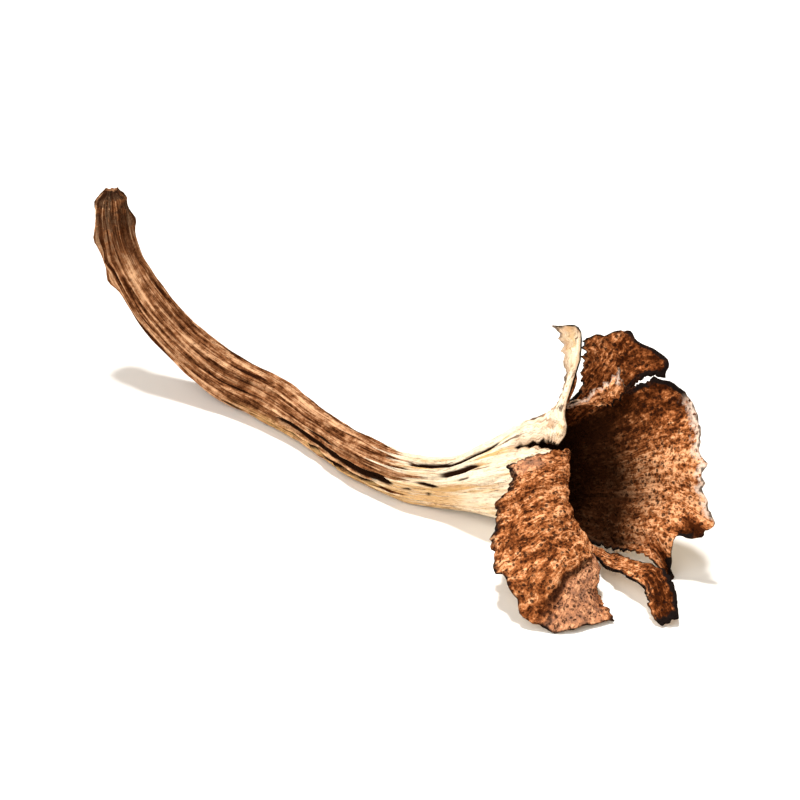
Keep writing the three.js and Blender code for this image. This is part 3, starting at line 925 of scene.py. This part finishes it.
def factor(name, description, default):
    """A strength that has no unit."""
    return bpy.props.FloatProperty(
        name=name, description=description, default=default, min=0, subtype="FACTOR", soft_max=2
    )


def power(name, description, default):
    """The strength of a light."""
    return bpy.props.FloatProperty(
        name=name, description=description, default=default, min=0, unit="POWER"
    )


def colour(name, description, default):
    """A colour, in scene-linear values."""
    return bpy.props.FloatVectorProperty(
        name=name, description=description, default=default, subtype="COLOR", min=0, max=1
    )


class FleshSizes(bpy.types.PropertyGroup):
    """Sizes of the tears and the relief"""

    ragged: length("Ragged margin", "How much of the margin is eaten away at most", 0.0021)
    tear_gap: length("Tear gap", "How far a lobe draws back from a tear", 0.0007)
    relief: factor("Relief", "Height of dents, cords and fibres, against life", 1.0)


class FleshLook(bpy.types.PropertyGroup):
    """Colours and grain of the flesh"""

    # painted shade deep in the mouth
    throat: colour("Throat", "Deep inside the mouth", (0.016, 0.005, 0.002))
    inner_dark: colour("Inner dark", "Darkest brown inside", (0.050, 0.012, 0.003))
    inner_mid: colour("Inner brown", "Middle brown inside", (0.205, 0.058, 0.016))
    inner_warm: colour("Inner orange", "Warm brown inside", (0.47, 0.165, 0.055))
    inner_light: colour("Inner light", "Lightest brown inside", (0.95, 0.48, 0.24))
    speck: colour("Specks", "Pits and dark fibres", (0.022, 0.007, 0.004))
    margin: colour("Margin", "Dry black margin", (0.012, 0.008, 0.007))
    peeled: colour("Peeled margin", "Pale flesh at a torn margin", (0.80, 0.62, 0.50))
    cream: colour("Cream", "Pale outer skin", (0.97, 0.83, 0.62))
    # used for the stains and for the painted bounce light on the underside
    ochre: colour("Ochre", "Stains on the outer skin", (0.72, 0.44, 0.18))
    vein: colour("Veins", "Thin brown lines on the outer skin", (0.42, 0.20, 0.09))
    blush: colour("Blush", "Pinkish patches on the outer skin", (0.84, 0.60, 0.45))
    flush: colour("Flushed brown", "Pinkish patches inside", (0.80, 0.44, 0.28))
    stem_dark: colour("Stem dark", "Furrows of the stem", (0.060, 0.017, 0.005))
    stem_mid: colour("Stem brown", "Middle brown of the stem", (0.29, 0.115, 0.045))
    stem_light: colour("Stem light", "Ridges of the stem", (0.80, 0.47, 0.26))
    # painted shade inside the slits
    slit: colour("Slits", "Inside of the slits in the stem", (0.020, 0.008, 0.004))
    bump: factor("Grain", "Strength of the fine grain", 0.7)


class StageLook(bpy.types.PropertyGroup):
    """The floor, the lights and the camera"""

    floor: colour("Floor", "Pale floor", (0.93, 0.92, 0.90))
    key: power("Key light", "Main light, from above", 3.6)
    fill: factor("Fill", "Light from all round", 0.42)
    front: power("Front light", "Soft light from the front left", 2.1)
    elevation: bpy.props.FloatProperty(
        name="Camera height",
        description="Angle over the floor",
        default=math.radians(30),
        unit="ROTATION",
    )
    distance: length("Camera distance", "From the mushroom's middle", 1.20)


# ---------------------------------------- operators
class MUSHROOM_OT_body(bpy.types.Operator):
    """Builds the mushroom's closed body and gives it its flesh"""

    bl_idname = "mushroom.body"
    bl_label = "Mushroom body"

    def execute(self, context):
        """Makes the mesh, stores the finish's facts at its points and names the piece."""
        scene = context.scene
        points, faces, facts = Skins(Flesh(scene.mushroom_sizes)).body()
        mesh = bpy.data.meshes.new("black_trumpet")
        mesh.from_pydata(points.tolist(), [], faces)
        for name, values in facts.items():
            kind, key = ("FLOAT_VECTOR", "vector") if values.ndim == 2 else ("FLOAT", "value")
            layer = mesh.attributes.new(name, kind, "POINT")
            layer.data.foreach_set(key, values.astype(np.float32).ravel())
        mesh.polygons.foreach_set("use_smooth", [True] * len(mesh.polygons))
        mesh.materials.append(FleshFinish(scene.mushroom_look).material())
        piece = bpy.data.objects.new("black_trumpet", mesh)
        scene.collection.objects.link(piece)
        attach(piece, "root")
        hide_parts("mushroom")
        return {"FINISHED"}


class MUSHROOM_OT_stage(bpy.types.Operator):
    """Adds the pale floor, the soft lights and the camera"""

    bl_idname = "mushroom.stage"
    bl_label = "Stage"

    def execute(self, context):
        """Makes the floor, then the lights and the camera."""
        scene, look = context.scene, context.scene.mushroom_stage
        half = FLOOR_SIZE / 2
        corners = [(-half, -half, 0), (half, -half, 0), (half, half, 0), (-half, half, 0)]
        mesh = bpy.data.meshes.new("floor")
        mesh.from_pydata(corners, [], [(0, 1, 2, 3)])
        mesh.materials.append(floor_finish(look.floor))
        floor = bpy.data.objects.new("floor", mesh)
        scene.collection.objects.link(floor)
        self.soft_light(scene, look.fill)
        self.sun(scene, "key", look.key, KEY_LIGHT)
        self.sun(scene, "front", look.front, FRONT_LIGHT)
        self.camera(scene, look)
        scene.view_settings.view_transform = "Standard"
        return {"FINISHED"}

    @staticmethod
    def soft_light(scene, strength):
        """Even light from all round."""
        world = bpy.data.worlds.new("soft_light")
        world.use_nodes = True
        background = world.node_tree.nodes["Background"]
        background.inputs["Color"].default_value = (*FILL_COLOUR, 1)
        background.inputs["Strength"].default_value = strength
        scene.world = world

    @staticmethod
    def sun(scene, name, strength, light):
        """A light from far away: where it comes from, how wide it looks, and its colour."""
        lamp = bpy.data.lights.new(name, "SUN")
        lamp.energy, lamp.angle, lamp.color = strength, math.radians(light["width"]), light["colour"]
        holder = bpy.data.objects.new(name, lamp)
        holder.rotation_euler = Vector(light["from"]).to_track_quat("Z", "Y").to_euler()
        scene.collection.objects.link(holder)

    @staticmethod
    def camera(scene, look):
        """A long lens, aimed at the middle of the CAD model's box."""
        lens = bpy.data.cameras.new("camera")
        lens.lens, lens.sensor_width = CAMERA_LENS, CAMERA_SENSOR
        camera = bpy.data.objects.new("camera", lens)
        low, high = (np.array(corner) for corner in CAD_BOX)
        aim = Vector((low + high) / 2)
        back = Vector((0, -math.cos(look.elevation), math.sin(look.elevation)))
        camera.location = aim + back * look.distance
        camera.rotation_euler = (-back).to_track_quat("-Z", "Y").to_euler()
        scene.collection.objects.link(camera)
        scene.camera = camera


class MUSHROOM_PT_panel(bpy.types.Panel):
    """Lists the sizes and colours, and the operators that build with them"""

    bl_label = "Black trumpet"
    bl_idname = "MUSHROOM_PT_panel"
    bl_space_type = "VIEW_3D"
    bl_region_type = "UI"
    bl_category = "Mushroom"

    def draw(self, context):
        """One box for each group of values, then the operators."""
        for group_name in GROUPS:
            group, box = getattr(context.scene, group_name), self.layout.box()
            for name in group.__annotations__:
                box.prop(group, name)
        for operator in OPERATORS:
            self.layout.operator(operator.bl_idname)


GROUPS = {"mushroom_sizes": FleshSizes, "mushroom_look": FleshLook, "mushroom_stage": StageLook}
OPERATORS = (MUSHROOM_OT_body, MUSHROOM_OT_stage)
CLASSES = (*GROUPS.values(), *OPERATORS, MUSHROOM_PT_panel)


def register():
    """Registers the classes and hangs their values on the scene."""
    for cls in CLASSES:
        bpy.utils.register_class(cls)
    for name, group in GROUPS.items():
        setattr(bpy.types.Scene, name, bpy.props.PointerProperty(type=group))


def unregister():
    """Takes the values and the classes away again."""
    for name in GROUPS:
        delattr(bpy.types.Scene, name)
    for cls in reversed(CLASSES):
        bpy.utils.unregister_class(cls)


def main():
    """Builds the mushroom and its stage."""
    register()
    bpy.ops.mushroom.body()
    bpy.ops.mushroom.stage()


if __name__ == "__main__":
    main()
